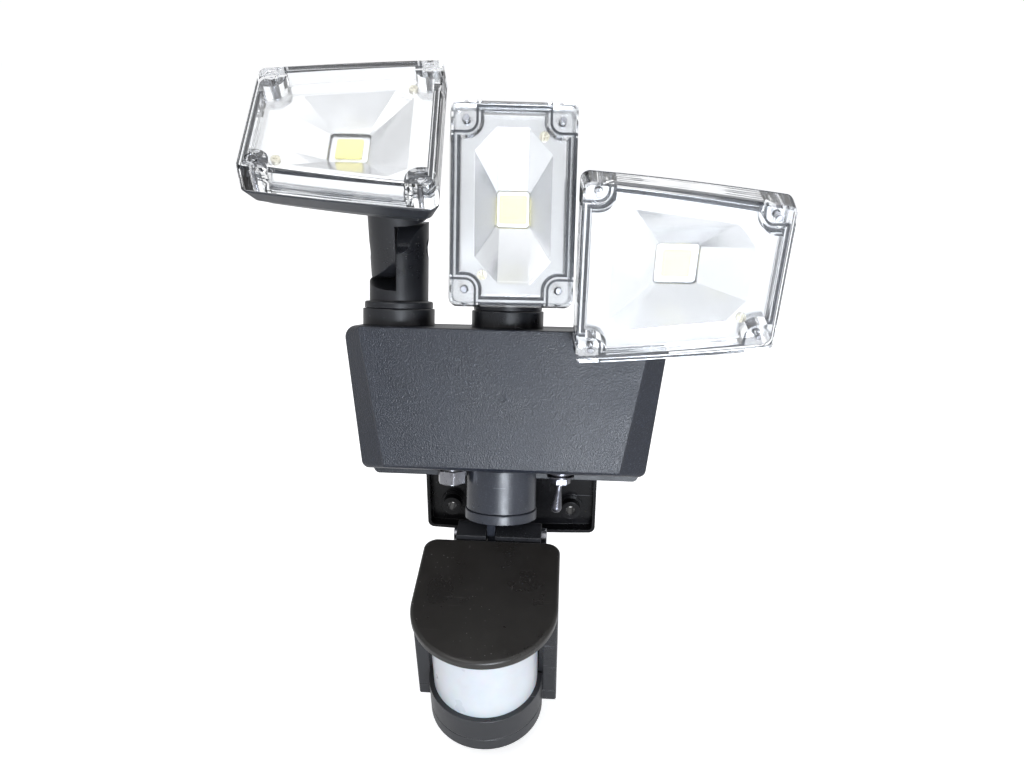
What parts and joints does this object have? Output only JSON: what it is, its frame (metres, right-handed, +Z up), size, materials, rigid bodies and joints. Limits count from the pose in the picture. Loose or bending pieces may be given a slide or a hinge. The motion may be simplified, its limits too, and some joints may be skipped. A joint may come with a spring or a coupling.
{
  "type": "motion sensor security light",
  "caption": "Wall security light: tapered battery box on a tilting wall bracket, adjustable faceted flood heads on knuckle stems, and a hooded motion sensor on a swivel below.",
  "frame": {"origin": "centre of the wall bracket's back face, on the wall", "axes": "+X to the right as seen from in front, +Y into the wall, +Z up"},
  "size_m": [0.2437, 0.1569, 0.3068],
  "materials": {
    "black_plastic": "moulded, semi-gloss",
    "charcoal_plastic": "fine spark-eroded grain",
    "grey_plastic": "satin",
    "hood_plastic": "dark, slightly dusty",
    "dial_plastic": "satin",
    "black_rubber": "soft matt",
    "zinc_steel": "zinc plated",
    "chrome_metal": "polished",
    "dark_metal": "blackened",
    "brass_screw": "yellow zinc",
    "clear_cover": "clear polycarbonate",
    "reflector_white": "silver-white reflector",
    "led_aluminium": "plain",
    "led_yellow": "phosphor yellow",
    "frosted_lens": "frosted, translucent white",
    "battery_wrap": "shrink wrap",
    "circuit_board": "solder mask"
  },
  "bodies": {
    "bracket": {"wall_bracket": "black_plastic", "hinge_bolt": "zinc_steel"},
    "box": {"front_shell": "charcoal_plastic", "rear_shell": "charcoal_plastic", "shell_seal": "black_rubber", "shell_screws": "zinc_steel", "battery_door": "charcoal_plastic", "battery_pack": "battery_wrap", "control_board": "circuit_board", "arm_collars": "charcoal_plastic", "input_jack": "dark_metal", "jack_nut": "zinc_steel", "toggle_body": "chrome_metal", "toggle_nut": "chrome_metal", "swivel_collar": "grey_plastic"},
    "toggle": {"toggle_lever": "chrome_metal"},
    "left_turret": {"left_stem": "charcoal_plastic", "left_knuckle_bolt": "zinc_steel"},
    "left_head": {"left_arm": "charcoal_plastic", "left_housing": "charcoal_plastic", "left_gasket": "black_rubber", "left_cover": "clear_cover", "left_cover_screws": "zinc_steel", "left_reflector": "reflector_white", "left_reflector_screws": "brass_screw", "left_led_board": "led_aluminium", "left_led_chip": "led_yellow"},
    "centre_turret": {"centre_stem": "charcoal_plastic", "centre_knuckle_bolt": "zinc_steel"},
    "centre_head": {"centre_arm": "charcoal_plastic", "centre_housing": "charcoal_plastic", "centre_gasket": "black_rubber", "centre_cover": "clear_cover", "centre_cover_screws": "zinc_steel", "centre_reflector": "reflector_white", "centre_reflector_screws": "brass_screw", "centre_led_board": "led_aluminium", "centre_led_chip": "led_yellow"},
    "right_turret": {"right_stem": "charcoal_plastic", "right_knuckle_bolt": "zinc_steel"},
    "right_head": {"right_arm": "charcoal_plastic", "right_housing": "charcoal_plastic", "right_gasket": "black_rubber", "right_cover": "clear_cover", "right_cover_screws": "zinc_steel", "right_reflector": "reflector_white", "right_reflector_screws": "brass_screw", "right_led_board": "led_aluminium", "right_led_chip": "led_yellow"},
    "sensor_turret": {"sensor_swivel": "grey_plastic"},
    "sensor": {"sensor_hood": "hood_plastic", "sensor_housing": "charcoal_plastic", "sensor_tilt_bolt": "zinc_steel", "sensor_lens": "frosted_lens", "sensor_base": "charcoal_plastic", "sensor_board": "circuit_board"},
    "dial_time": {"knob_time": "dial_plastic"},
    "dial_sens": {"knob_sens": "dial_plastic"},
    "dial_lux": {"knob_lux": "dial_plastic"}
  },
  "joints": [
    {"name": "box_tilt", "type": "hinge", "parent": "bracket", "child": "box", "pos_m": [0, -0.022, 0.012], "axis": [1, 0, 0], "range_deg": [-6, 20]},
    {"name": "left_pan", "type": "hinge", "parent": "box", "child": "left_turret", "pos_m": [-0.057, -0.03428, 0.09615], "axis": [0, 0.2588, 0.9659], "range_deg": [-15, 3.5]},
    {"name": "left_tilt", "type": "hinge", "parent": "left_turret", "child": "left_head", "pos_m": [-0.057, -0.0263, 0.12596], "axis": [0.9962, 0.0842, -0.0226], "range_deg": [-40, 30]},
    {"name": "centre_pan", "type": "hinge", "parent": "box", "child": "centre_turret", "pos_m": [0, -0.03428, 0.09615], "axis": [0, 0.2588, 0.9659], "range_deg": [-3.5, 0.3]},
    {"name": "centre_tilt", "type": "hinge", "parent": "centre_turret", "child": "centre_head", "pos_m": [0, -0.0263, 0.12596], "axis": [0.9956, 0.0909, -0.0244], "range_deg": [-40, 9]},
    {"name": "right_pan", "type": "hinge", "parent": "box", "child": "right_turret", "pos_m": [0.057, -0.03428, 0.09615], "axis": [0, 0.2588, 0.9659], "range_deg": [-0.3, 15]},
    {"name": "right_tilt", "type": "hinge", "parent": "right_turret", "child": "right_head", "pos_m": [0.057, -0.0263, 0.12596], "axis": [0.9996, 0.027, -0.0072], "range_deg": [-60, 3]},
    {"name": "sensor_pan", "type": "hinge", "parent": "box", "child": "sensor_turret", "pos_m": [-0.0015, -0.06128, -0.0046], "axis": [0, 0.2588, 0.9659], "range_deg": [-60, 60]},
    {"name": "sensor_tilt", "type": "hinge", "parent": "sensor_turret", "child": "sensor", "pos_m": [-0.0015, -0.06889, -0.01757], "axis": [1, 0, 0], "range_deg": [-30, 15]},
    {"name": "power_toggle", "type": "hinge", "parent": "box", "child": "toggle", "pos_m": [0.0297, -0.06589, 0.01683], "axis": [0, 0.9659, -0.2588], "range_deg": [-18, 6]},
    {"name": "dial_time_turn", "type": "hinge", "parent": "sensor", "child": "dial_time", "pos_m": [-0.0193, -0.09817, -0.0805], "axis": [0, -0.1736, 0.9848], "range_deg": [-135, 135]},
    {"name": "dial_sens_turn", "type": "hinge", "parent": "sensor", "child": "dial_sens", "pos_m": [-0.0043, -0.09817, -0.0805], "axis": [0, -0.1736, 0.9848], "range_deg": [-135, 135]},
    {"name": "dial_lux_turn", "type": "hinge", "parent": "sensor", "child": "dial_lux", "pos_m": [0.0107, -0.09817, -0.0805], "axis": [0, -0.1736, 0.9848], "range_deg": [-135, 135]}
  ]
}
